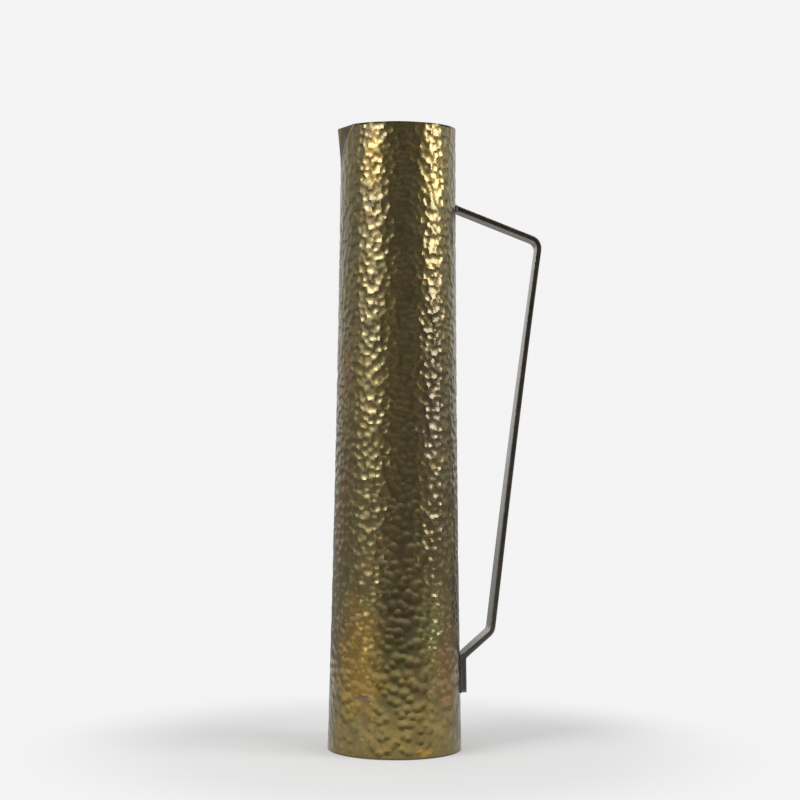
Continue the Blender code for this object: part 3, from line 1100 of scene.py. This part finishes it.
def strap_path(sizes):
    """The strap's centre line and twist, from just inside the wall's face to the end of the tab."""
    slope = (BAR_WALL_HEIGHT - UPPER_BEND[1]) / (UPPER_BEND[0] - outer_radius(BAR_WALL_HEIGHT))
    start_x = outer_radius(BAR_WALL_HEIGHT) - STRAP_OVERRUN
    stand_off = TAB_STAND_OFF + sizes.strap_thickness / 2
    corners = [
        (start_x, BAR_WALL_HEIGHT + slope * STRAP_OVERRUN, 0),
        UPPER_BEND,
        GRIP_BOW,
        LOWER_BEND,
        (outer_radius(TAB_TOP_HEIGHT) + stand_off, TAB_TOP_HEIGHT, TAB_BEND_RADIUS),
        (outer_radius(TAB_END_HEIGHT) + stand_off, TAB_END_HEIGHT, 0),
    ]
    twists = [
        (BAR_TWIST, GRIP_TOP_TWIST), (GRIP_TOP_TWIST, GRIP_FOOT_TWIST),
        (GRIP_FOOT_TWIST, GRIP_FOOT_TWIST), (GRIP_FOOT_TWIST, 0),
    ]
    knots = [(Vector(corners[0][:2]), BAR_TWIST)]
    for before, corner, after, twist in zip(corners, corners[1:], corners[2:], twists):
        knots += round_corner(before, corner, after, twist)
    knots.append((Vector(corners[-1][:2]), 0))
    path = [knots[0]]
    for (start, first), (end, last) in zip(knots, knots[1:]):
        steps = max(1, round((end - start).length / RUN_STEP))
        for i in range(1, steps + 1):
            path.append((start.lerp(end, i / steps), first + (last - first) * i / steps))
    return path


def make_strap(sizes, colours):
    """The bent bar, with its edges eased and its top end filed to the wall."""
    path = strap_path(sizes)
    places = [Vector((point.x, 0, point.y)) for point, twist in path]
    length = path_lengths(places)[-1]
    strap = add_bar(
        "handle_bar", sizes.strap_thickness, sizes.strap_width, length, sizes.edge_round, *STRAP_PARTS
    )
    bend_along(strap, places, Vector((0, 1, 0)), [math.radians(twist) for point, twist in path])
    put_down_all()
    bpy.ops.mesh.primitive_cylinder_add(
        vertices=CORE_SIDES, radius=1, depth=CORE_LENGTH, location=(0, 0, BAR_WALL_HEIGHT)
    )
    core = name_piece("wall_core")
    settle()
    reshape(core, lambda co: Vector((co.x * outer_radius(co.z), co.y * outer_radius(co.z), co.z)))
    apply_modifier(strap, "filed_end", "BOOLEAN", operation="DIFFERENCE", object=core, solver="EXACT")
    bpy.data.objects.remove(core)
    mark_wear(strap, 0.08 * MM)
    mark_reflection_face(strap)
    strap.data.materials.append(strap_brass(colours))
    smooth(strap, 35)
    finish_piece(strap, "strap_brass", "handle_strap")


SOLDER_VOXEL = 0.00030
SOLDER_SWELL = 0.00025
SOLDER_LUMP = Vector((-0.00012, 0, 0))
SOLDER_LUMP_SIZE = 0.0016
SOLDER_SQUEEZE = {
    "handle_top_solder": Vector((0.50, 0.97, 0.74)),
    "handle_foot_solder": Vector((0.60, 0.97, 0.93)),
}


def lift_packed_copy(node, name):
    """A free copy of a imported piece, with its vertices joined and its metal taken off."""
    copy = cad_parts[node].copy()
    copy.data = copy.data.copy()
    copy.parent = None
    for key in list(copy.keys()):
        del copy[key]
    bpy.context.scene.collection.objects.link(copy)
    take_up(copy)
    name_piece(name)
    copy.data.materials.clear()
    open_mesh()
    bpy.ops.mesh.remove_doubles(threshold=0.01 * MM)
    close_mesh()
    return copy


def make_handle_solder(colours):
    """The two fillets of solder that hold the strap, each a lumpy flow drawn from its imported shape."""
    metal = joint_metal("solder", colours.slate, colours.strap, 0.45)
    for node, squeeze in SOLDER_SQUEEZE.items():
        fillet = lift_packed_copy(node, node.replace("handle_", "strap_"))
        low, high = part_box(node)
        heart = Vector((low.x, 0, (low.z + high.z) / 2))
        reshape(fillet, lambda co: heart + (co - heart) * squeeze)
        apply_modifier(fillet, "closer", "DISPLACE", strength=SOLDER_SWELL, mid_level=0.0)
        apply_modifier(fillet, "flow", "REMESH", mode="VOXEL", voxel_size=SOLDER_VOXEL)
        apply_modifier(fillet, "soft", "SMOOTH", factor=0.5, iterations=12)
        reshape(fillet, lambda co: co + SOLDER_LUMP * (noise.noise(co / SOLDER_LUMP_SIZE) + 1))
        mark_wear(fillet)
        fillet.data.materials.append(metal)
        smooth(fillet, 80)
        finish_piece(fillet, "solder", node)


def finish_base(colours):
    """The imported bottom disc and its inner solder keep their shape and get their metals."""
    for node, metal in (
        ("base_disc", base_brass(colours)),
        ("base_solder", joint_metal("base_solder", colours.slate, colours.umber, 0.5)),
    ):
        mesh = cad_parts[node].data
        mesh.materials.clear()
        mesh.materials.append(metal)


# ---------------------------------------------------------------- the studio

PITCHER_MIDDLE = Vector((0.0, 0.0, 0.19))
WHITE = (1, 1, 1, 1)

# The paper: its radius, its drop under the foot, its tones, and the ring where it turns from lit to even.
FLOOR_RADIUS = 12
FLOOR_DROP = 0.00002
PAPER_LIGHT = (0.71, 0.71, 0.71)
PAPER_SEEN = (0.58, 0.58, 0.58)
PAPER_RING = (0.12, 0.24, 0.25, 1.0)

# What the metal mirrors of the floor: it dims with distance and behind the pitcher.
DUSK_RING = (0.16, 0.62, 0.0, 0.80)
DUSK_BEHIND = 0.28
DUSK_GLOW = 0.05

# The room's brightness, from its far side to the camera's side, and what is added towards the ceiling.
ROOM_ROUND = (-0.9, 0.95, 0.56, 0.10)
ROOM_ABOVE = (0.0, 0.5, 0.0, 0.10)

# Area lights: turn from the camera with right positive, elevation, distance, width and height, radiance.
LIGHTS = {
    "left_glow": (-54, 13, 2.6, (1.70, 1.10), 0.95),
    "left_strip": (-50, 27, 2.5, (1.05, 1.05), 5.4),
    "right_strip": (76, 19, 2.5, (0.75, 1.20), 5.6),
    "left_high": (-52, 62, 2.5, (1.0, 1.0), 6.0),
    "right_high": (62, 62, 2.5, (1.0, 1.0), 6.0),
    "roof": (0, 89, 2.5, (2.2, 2.2), 1.0),
}


def towards_camera(stage, turn=0.0):
    """The level direction from the pitcher to the camera, or to one side of it."""
    angle = stage.azimuth + turn
    return Vector((math.sin(angle), -math.cos(angle), 0))


def ray_is(tree, kind):
    """1 for rays of a kind, such as Camera or Glossy, and 0 for the rest."""
    return add_node(tree, "LightPath").outputs[f"Is {kind} Ray"]


def blend(tree, share, first, second):
    """Mix one shader into another by a share."""
    return add_node(tree, "MixShader", {0: share, 1: first, 2: second}).outputs[0]


def glow(tree, kind, strength):
    """Plain white light, from a surface as Emission or from the room as Background."""
    return add_node(tree, kind, {"Color": WHITE, "Strength": strength}).outputs[0]


def along(tree, place, direction):
    """How far a place lies in a direction."""
    return add_node(tree, "VectorMath", {0: place, 1: direction}, operation="DOT_PRODUCT").outputs["Value"]


def empty_tree(owner):
    """The node tree of a material or a world, cleared."""
    owner.use_nodes = True
    owner.node_tree.nodes.clear()
    return owner.node_tree


def make_floor(stage):
    """A pale paper floor, lit near the pitcher and even beyond it."""
    put_down_all()
    bpy.ops.mesh.primitive_circle_add(
        vertices=96, radius=FLOOR_RADIUS, fill_type="NGON", location=(0, 0, -FLOOR_DROP)
    )
    floor = name_piece("paper_floor")
    settle()
    material = bpy.data.materials.new("paper")
    tree = empty_tree(material)
    where = object_place(tree)
    away = add_node(tree, "VectorMath", {0: where}, operation="LENGTH").outputs["Value"]
    shade = tint(tree, ray_is(tree, "Camera"), PAPER_LIGHT, PAPER_SEEN)
    lit = add_node(tree, "BsdfDiffuse", {"Color": shade}).outputs[0]
    paper = blend(tree, spread(tree, away, *PAPER_RING), lit, glow(tree, "Emission", stage.paper))
    front = along(tree, where, towards_camera(stage))
    behind = maths(tree, "MULTIPLY", spread(tree, front, 0.05, -0.10), DUSK_BEHIND)
    dusk = maths(tree, "MAXIMUM", spread(tree, away, *DUSK_RING), behind)
    dusk = maths(tree, "MULTIPLY", ray_is(tree, "Glossy"), dusk)
    paper = blend(tree, dusk, paper, glow(tree, "Emission", DUSK_GLOW))
    add_node(tree, "OutputMaterial", {"Surface": paper})
    floor.data.materials.append(material)


def make_world(stage):
    """A room, pale behind the pitcher and dark behind the camera, that the camera sees as plain paper."""
    world = bpy.data.worlds.new("studio")
    bpy.context.scene.world = world
    tree = empty_tree(world)
    where = add_node(tree, "TexCoord").outputs["Generated"]
    room = spread(tree, along(tree, where, towards_camera(stage)), *ROOM_ROUND)
    above = add_node(tree, "SeparateXYZ", {0: where}).outputs["Z"]
    room = maths(tree, "ADD", room, spread(tree, above, *ROOM_ABOVE))
    plain = glow(tree, "Background", stage.paper)
    both = blend(tree, ray_is(tree, "Camera"), glow(tree, "Background", room), plain)
    add_node(tree, "OutputWorld", {"Surface": both})


def softbox(name, stage, turn, elevation, distance, size, radiance):
    """A rectangular light aimed at the pitcher. turn is its angle from the camera, right positive."""
    light = bpy.data.lights.new(name, "AREA")
    light.shape = "RECTANGLE"
    light.size, light.size_y = size
    light.energy = radiance * math.pi * size[0] * size[1]
    box = bpy.data.objects.new(name, light)
    bpy.context.scene.collection.objects.link(box)
    rise = math.radians(elevation)
    level = towards_camera(stage, math.radians(turn))
    back = level * math.cos(rise) + Vector((0, 0, math.sin(rise)))
    box.location = PITCHER_MIDDLE + back * distance
    box.rotation_mode = "QUATERNION"
    box.rotation_quaternion = (-back).to_track_quat("-Z", "Y")
    box.visible_camera = False


SENSOR_WIDTH = 36


def make_camera(stage):
    """The camera, looking level from a little above half the pitcher's height."""
    lens = bpy.data.cameras.new("camera")
    lens.lens = stage.lens
    lens.sensor_width = SENSOR_WIDTH
    lens.shift_x = stage.shift_x
    lens.shift_y = stage.shift_y
    camera = bpy.data.objects.new("camera", lens)
    bpy.context.scene.collection.objects.link(camera)
    back = towards_camera(stage)
    right = towards_camera(stage, math.pi / 2)
    up = Vector((0, 0, 1))
    across = right * math.cos(stage.roll) + up * math.sin(stage.roll)
    head_up = up * math.cos(stage.roll) - right * math.sin(stage.roll)
    turn = Matrix((across, head_up, back)).transposed().to_4x4()
    camera.matrix_world = Matrix.Translation(back * stage.distance + up * stage.eye_height) @ turn
    bpy.context.scene.camera = camera


def make_stage(stage):
    """The camera, the paper, the room and the lights: two in front, two high ones and a soft roof."""
    make_camera(stage)
    make_floor(stage)
    make_world(stage)
    for name, settings in LIGHTS.items():
        softbox(name, stage, *settings)
    bpy.context.scene.view_settings.view_transform = "Standard"


# ---------------------------------------------------------------- operators and panel

class PITCHER_OT_wall(bpy.types.Operator):
    """Make the hammered wall"""

    bl_idname = "pitcher.wall"
    bl_label = "Hammered wall"

    def execute(self, context):
        make_wall(context.scene.pitcher_sizes, context.scene.pitcher_colours)
        return {"FINISHED"}


class PITCHER_OT_seam(bpy.types.Operator):
    """Make the brazed seam under the handle"""

    bl_idname = "pitcher.seam"
    bl_label = "Brazed seam"

    def execute(self, context):
        make_seam(context.scene.pitcher_sizes, context.scene.pitcher_colours)
        return {"FINISHED"}


class PITCHER_OT_base(bpy.types.Operator):
    """Finish the bottom disc and its solder"""

    bl_idname = "pitcher.base"
    bl_label = "Base and its solder"

    def execute(self, context):
        finish_base(context.scene.pitcher_colours)
        return {"FINISHED"}


class PITCHER_OT_lip(bpy.types.Operator):
    """Make the folded lip and the solder line beside it"""

    bl_idname = "pitcher.lip"
    bl_label = "Pouring lip"

    def execute(self, context):
        make_lip(context.scene.pitcher_colours)
        make_lip_solder(context.scene.pitcher_sizes, context.scene.pitcher_colours)
        return {"FINISHED"}


class PITCHER_OT_handle(bpy.types.Operator):
    """Make the strap handle and the solder at its two ends"""

    bl_idname = "pitcher.handle"
    bl_label = "Strap handle"

    def execute(self, context):
        make_strap(context.scene.pitcher_sizes, context.scene.pitcher_colours)
        make_handle_solder(context.scene.pitcher_colours)
        return {"FINISHED"}


class PITCHER_OT_stage(bpy.types.Operator):
    """Set up the camera, the paper floor and the lights"""

    bl_idname = "pitcher.stage"
    bl_label = "Studio"

    def execute(self, context):
        make_stage(context.scene.pitcher_stage)
        return {"FINISHED"}


OPERATORS = (
    PITCHER_OT_wall, PITCHER_OT_seam, PITCHER_OT_base, PITCHER_OT_lip, PITCHER_OT_handle, PITCHER_OT_stage,
)


class PITCHER_PT_panel(bpy.types.Panel):
    """The pitcher's sizes, colours and makers"""

    bl_idname = "PITCHER_PT_panel"
    bl_label = "Pitcher"
    bl_space_type = "VIEW_3D"
    bl_region_type = "UI"
    bl_category = "Pitcher"

    def draw(self, context):
        scene = context.scene
        for group in (scene.pitcher_sizes, scene.pitcher_colours, scene.pitcher_stage):
            box = self.layout.box()
            for key in group.__annotations__:
                box.prop(group, key)
        for operator in OPERATORS:
            self.layout.operator(operator.bl_idname)


GROUPS = {"pitcher_sizes": PitcherSizes, "pitcher_colours": PitcherColours, "pitcher_stage": PitcherStage}


def register():
    """Register the property groups, the operators and the panel."""
    for key, group in GROUPS.items():
        bpy.utils.register_class(group)
        setattr(bpy.types.Scene, key, bpy.props.PointerProperty(type=group))
    for kind in (*OPERATORS, PITCHER_PT_panel):
        bpy.utils.register_class(kind)


def unregister():
    """Take everything out again."""
    for kind in (PITCHER_PT_panel, *reversed(OPERATORS)):
        bpy.utils.unregister_class(kind)
    for key, group in GROUPS.items():
        delattr(bpy.types.Scene, key)
        bpy.utils.unregister_class(group)


def main():
    """Make every piece in turn."""
    register()
    bpy.ops.pitcher.wall()
    bpy.ops.pitcher.seam()
    bpy.ops.pitcher.base()
    bpy.ops.pitcher.lip()
    bpy.ops.pitcher.handle()
    bpy.ops.pitcher.stage()


if __name__ == "__main__":
    main()
